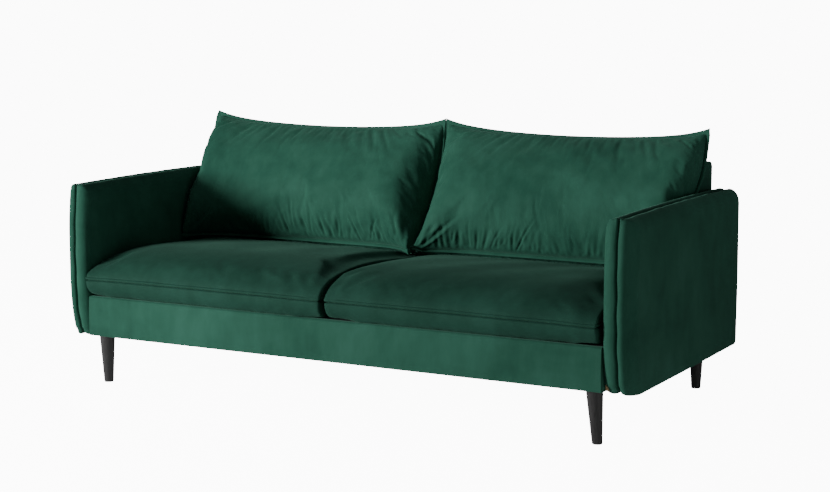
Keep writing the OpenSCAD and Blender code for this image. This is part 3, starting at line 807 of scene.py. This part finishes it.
def clear_zip(places, node):
    """Sets the cover in behind the zip tape"""
    zip_low, zip_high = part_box(node)
    along = np.clip(np.minimum(places[:, 0] - zip_low.x, zip_high.x - places[:, 0]) / 0.006 + 1, 0, 1)
    across = np.clip(np.minimum(places[:, 2] - zip_low.z, zip_high.z - places[:, 2]) / 0.006 + 1, 0, 1)
    inside = along * across * (places[:, 1] > zip_low.y - 0.03)
    target = zip_low.y - 0.0006
    places[:, 1] = np.where(inside > 0, np.minimum(places[:, 1], places[:, 1] + (target - places[:, 1]) * inside),
                            places[:, 1])


seat_cushion(-1)
seat_cushion(1)


# ---------------------------------------------------------------------------
# The back cushions: big fibre-filled pillows whose two velvet faces are sewn
# together with a flat flange all round, drawn out to an ear at each corner.
# Each stands on the seat, slumps against the back frame and laps over its top.
pillow_low, pillow_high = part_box("right_back_cushion_cover")
rest_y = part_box("right_back_cushion_zip")[1].y
frame_top = back_high.z + 0.006
flange_width = 0.012
seam_foot = np.array([0.083, 0.421])
seam_bend = np.array([0.273, 0.474])
seam_head = np.array([0.337, 0.812])
belly = np.array([-0.84, 0.54])
top_dip = 0.031
bottom_tuck = 0.095
inner_roll = 0.095
outer_roll = 0.026
fullness = 0.262


def seam_side(t):
    """Y and Z of the side seam, from the foot (t = 0) to the head (t = 1)"""
    t = np.asarray(t)[..., None]
    return (1 - t) ** 2 * seam_foot + 2 * t * (1 - t) * seam_bend + t ** 2 * seam_head


def seam_point(s, t):
    """A place on the sheet between the two faces; s runs from 0 at the inner side to 1"""
    s, t = np.asarray(s, float), np.asarray(t, float)
    yz = seam_side(t)
    across = np.abs(2 * s - 1)
    above_arm = smooth(0.54, 0.71, yz[..., 1])
    outer = 0.866 + 0.026 * above_arm
    inner = 0.006 + 0.004 * np.sin(np.pi * t)
    x = inner + (outer - inner) * s
    y = yz[..., 0] + bottom_tuck * (1 - across ** 6) * (1 - t) ** 3 - 0.020 * s ** 8 * (1 - t) ** 0.5
    y = y - 0.022 * s ** 8 * np.sin(np.pi * t) ** 2
    ear = 0.48 * across ** 8 + 0.52 * across ** 1.8
    z = yz[..., 1] - top_dip * (1 - ear) * t ** 6
    return np.stack([x, y, z], -1)


def pillow_face(s, t, front):
    """A place on the front or rear face of the pillow"""
    place = seam_point(s, t)
    from_side = np.clip(np.minimum(s * 0.88 / inner_roll, (1 - s) * 0.88 / outer_roll), 0, 1)
    roll = np.sqrt(1 - (1 - from_side) ** 2)
    across = 2 * s - 1
    if front:
        depth = fullness * t ** 0.55 * (1 - t) ** 0.72 * roll * (1 + 0.12 * (1 - across ** 2))
        way = belly
    else:
        depth = 0.9 * t ** 0.6 * (1 - t) * roll
        way = -belly
    place[..., 1] += way[0] * depth
    place[..., 2] += way[1] * depth
    return place


def keep_clear(places, gap):
    """Keeps a pillow in front of the back frame, above the seat and inside its own half"""
    y, z = places[:, 1], places[:, 2]
    wall = np.where(z < frame_top, rest_y - gap, pillow_high.y)
    places[:, 1] = np.minimum(y, wall)
    places[:, 2] = np.maximum(z, seat_top_z(places[:, 1]) + seat_crown + gap)
    places[:, 0] = np.maximum(places[:, 0], 0.0012)
    places[:, 0] = np.where(z < 0.60, np.minimum(places[:, 0], 0.8695), places[:, 0])


def pillow_start(name):
    """The pillow before it is puffed: a finely cut box laid over the two faces"""
    piece = start_box(name, Vector((0, 0, 0)), Vector((1, 0.1, 1)))
    cut(piece, 0, [(1 - math.cos(math.pi * i / 72)) / 2 for i in range(1, 72)])
    cut(piece, 2, [(1 - math.cos(math.pi * i / 52)) / 2 for i in range(1, 52)])
    unit = corners(piece)
    front = unit[:, 1] < 0.05
    s, t = unit[:, 0], unit[:, 2]
    places = np.where(front[:, None], pillow_face(s, t, True), pillow_face(s, t, False))
    places[:, 1] += np.where(front, -0.002, 0.002)
    keep_clear(places, 0.003)
    place_corners(piece, places)
    return piece


def wrinkles(places, facing, folds):
    """Gathered folds; each is (x, z of its foot, length, lean, curl, depth, width)"""
    total = np.zeros(len(places))
    for x, z, length, lean, curl, depth, width in folds:
        along = (places[:, 2] - z) / length
        middle = x + length * (lean * along + curl * along ** 2)
        fade = smooth(-0.05, 0.12, along) * (1 - smooth(0.35, 1.0, along))
        across = (places[:, 0] - middle) / (width * (0.7 + 0.6 * np.clip(along, 0, 1)))
        total += depth * fade * (np.exp(-across ** 2) - 0.55 * np.exp(-((np.abs(across) - 1.9) / 1.1) ** 2))
    return total * facing


def gathered_folds(seed, first, last, foot_z, lean, deep):
    """A row of uneven folds from one place along the bottom to another"""
    draw = random.Random(seed)
    x, found = first, []
    while x < last:
        strength = draw.uniform(0.3, 1.0) * deep
        found.append((x, foot_z + draw.uniform(-0.006, 0.030), draw.uniform(0.045, 0.145),
                      lean + draw.uniform(-0.30, 0.30), draw.uniform(-0.25, 0.25),
                      0.0030 * strength, draw.uniform(0.0040, 0.0075)))
        x += draw.uniform(0.008, 0.025)
    return found


def corner_folds(seed, x, z, turn_from, turn_to, count):
    """Folds that fan out of a pinched corner; turns are leans away from upright"""
    draw = random.Random(seed)
    found = []
    for i in range(count):
        lean = turn_from + (turn_to - turn_from) * i / (count - 1)
        found.append((x + 0.006 * lean, z, draw.uniform(0.07, 0.13), lean, draw.uniform(-0.1, 0.1),
                      draw.uniform(0.0025, 0.0045), draw.uniform(0.006, 0.010)))
    return found


def unit(vectors):
    return vectors / np.linalg.norm(vectors, axis=1)[:, None]


def flange(name, side):
    """The flat sewn edge: a narrow double strip along the whole seam, mitred into ears"""
    count = 120
    line = (1 - np.cos(np.pi * np.arange(count) / count)) / 2
    zero, one = np.zeros(count), np.ones(count)
    s = np.concatenate([line, one, 1 - line, zero])
    t = np.concatenate([zero, line, one, 1 - line])
    seam = seam_point(s, t)
    along_s = unit(seam_point(np.clip(s + 0.01, 0, 1), t) - seam_point(np.clip(s - 0.01, 0, 1), t))
    along_t = unit(seam_point(s, np.clip(t + 0.01, 0, 1)) - seam_point(s, np.clip(t - 0.01, 0, 1)))
    forward = unit(np.cross(along_s, along_t))
    forward *= np.sign(forward[:, 2] - forward[:, 1])[:, None]
    side_part = np.clip(1 - np.minimum(s, 1 - s) / 0.028, 0, 1) * np.sign(s - 0.5)
    top_part = np.clip(1 - np.minimum(t, 1 - t) / 0.06, 0, 1) * np.sign(t - 0.5)
    side_part *= 1 - 0.35 * smooth(0.5, 1.0, np.abs(top_part))
    out = along_s * side_part[:, None] + along_t * top_part[:, None]
    across = np.abs(2 * s - 1)
    lean = 1.15 * smooth(0.9, 1.0, t) * (1 - across ** 3)
    lean += smooth(0.05, 0.0, s) * smooth(1.0, 0.88, t) * (1.25 if side < 0 else -1.25)
    lean += 1.2 * smooth(0.95, 1.0, s) * (1 - smooth(0.585, 0.64, seam[:, 2]))
    reach = np.linalg.norm(out, axis=1)[:, None]
    leaned = out * np.cos(lean)[:, None] - forward * reach * np.sin(lean)[:, None]
    face = forward * np.cos(lean)[:, None] + out / reach * np.sin(lean)[:, None]
    half_section = [(0.10, 0.0008), (0.25, 0.0019), (0.55, 0.0021), (0.85, 0.0019), (0.97, 0.0011)]
    rows = [seam - out * 0.016 + forward * 0.002, seam - out * 0.005 + forward * 0.003]
    rows += [seam + leaned * flange_width * a + face * b for a, b in half_section]
    rows += [seam + leaned * flange_width]
    rows += [seam + leaned * flange_width * a - face * b for a, b in reversed(half_section)]
    rows += [seam - out * 0.005 - forward * 0.003, seam - out * 0.016 - forward * 0.002]
    total = len(seam)
    faces = []
    for k in range(len(rows)):
        k2 = (k + 1) % len(rows)
        for i in range(total):
            j = (i + 1) % total
            faces.append((k * total + i, k * total + j, k2 * total + j, k2 * total + i))
    places = np.concatenate(rows)
    keep_clear(places, 0.0006)
    places[:, 0] *= side
    mesh = bpy.data.meshes.new(name)
    mesh.from_pydata(places.tolist(), [], faces)
    mesh.update()
    piece = bpy.data.objects.new(name, mesh)
    bpy.context.scene.collection.objects.link(piece)
    bpy.ops.object.select_all(action="DESELECT")
    piece.select_set(True)
    bpy.context.view_layer.objects.active = piece
    bpy.ops.object.mode_set(mode="EDIT")
    bpy.ops.mesh.select_all(action="SELECT")
    bpy.ops.mesh.normals_make_consistent(inside=False)
    bpy.ops.object.mode_set(mode="OBJECT")
    return piece


def seam_hold(places):
    """How firmly each point is held by the seam, from 1 on it to 0 away from it"""
    line = np.linspace(0, 1, 70)
    ring = np.concatenate([seam_point(line, 0 * line), seam_point(line, 0 * line + 1),
                           seam_point(0 * line, line), seam_point(0 * line + 1, line)])
    nearest = np.full(len(places), 9.0)
    for point in ring:
        nearest = np.minimum(nearest, np.linalg.norm(places - point, axis=1))
    return np.clip(1.4 - nearest / 0.022, 0, 1)


def back_cushion(side):
    word = "left" if side < 0 else "right"
    piece = pillow_start(word + "_back_cushion")
    bpy.context.view_layer.objects.active = piece
    bpy.ops.object.mode_set(mode="EDIT")
    bpy.ops.mesh.select_all(action="SELECT")
    bpy.ops.mesh.normals_make_consistent(inside=False)
    bpy.ops.object.mode_set(mode="OBJECT")
    remesh(piece, 0.007)
    smoothing = piece.modifiers.new("even_out", "SMOOTH")
    smoothing.iterations = 3
    apply_modifiers(piece)
    puff(piece, cap=0.022, pressure=4, stiffness=8, spare=0.02, held=seam_hold(corners(piece)))
    subdivision = piece.modifiers.new("finer", "SUBSURF")
    subdivision.levels = subdivision.render_levels = 1
    apply_modifiers(piece)
    places = corners(piece)
    normals = np.array([v.normal for v in piece.data.vertices])
    facing = smooth(0.05, 0.45, -normals[:, 1])
    if side < 0:
        folds = gathered_folds(5, 0.05, 0.62, 0.428, 0.0, 1.0) + corner_folds(6, 0.02, 0.425, 0.15, 1.1, 5)
    else:
        folds = gathered_folds(9, 0.04, 0.34, 0.428, 0.35, 0.9) + gathered_folds(10, 0.34, 0.82, 0.428, 0.0, 0.45)
        folds += corner_folds(11, 0.015, 0.425, 0.25, 1.3, 6)
    folds += corner_folds(12, 0.858, 0.425, -0.9, -0.2, 4)
    sink = wrinkles(places, facing, folds)
    sink += 0.0020 * ripple(places, 0.20, 41 + side) + 0.0006 * ripple(places, 0.06, 43 + side)
    near_ring = seam_hold(places)
    places -= normals * (sink * (1 - 0.8 * near_ring))[:, None]
    keep_clear(places, 0.0012)
    clear_zip(places, "right_back_cushion_zip")
    places[:, 0] *= side
    place_corners(piece, places)
    if side < 0:
        piece.data.flip_normals()
    body = word + "_back_cushion"
    finish_piece(piece, body, pillow_velvet_painted_light, 80)
    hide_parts(word + "_back_cushion_cover", word + "_back_cushion_core")
    edge = flange(word + "_back_cushion_flange", side)
    finish_piece(edge, body, pillow_velvet_painted_light, 80)


back_cushion(-1)
back_cushion(1)

# ---------------------------------------------------------------------------
# The zips: a woven tape in the colour of the velvet with a row of teeth.
paint(["left_seat_zip", "right_seat_zip", "left_back_cushion_zip", "right_back_cushion_zip"],
      woven("zip_tape", (0.016, 0.060, 0.042), (0.006, 0.028, 0.020), 900))
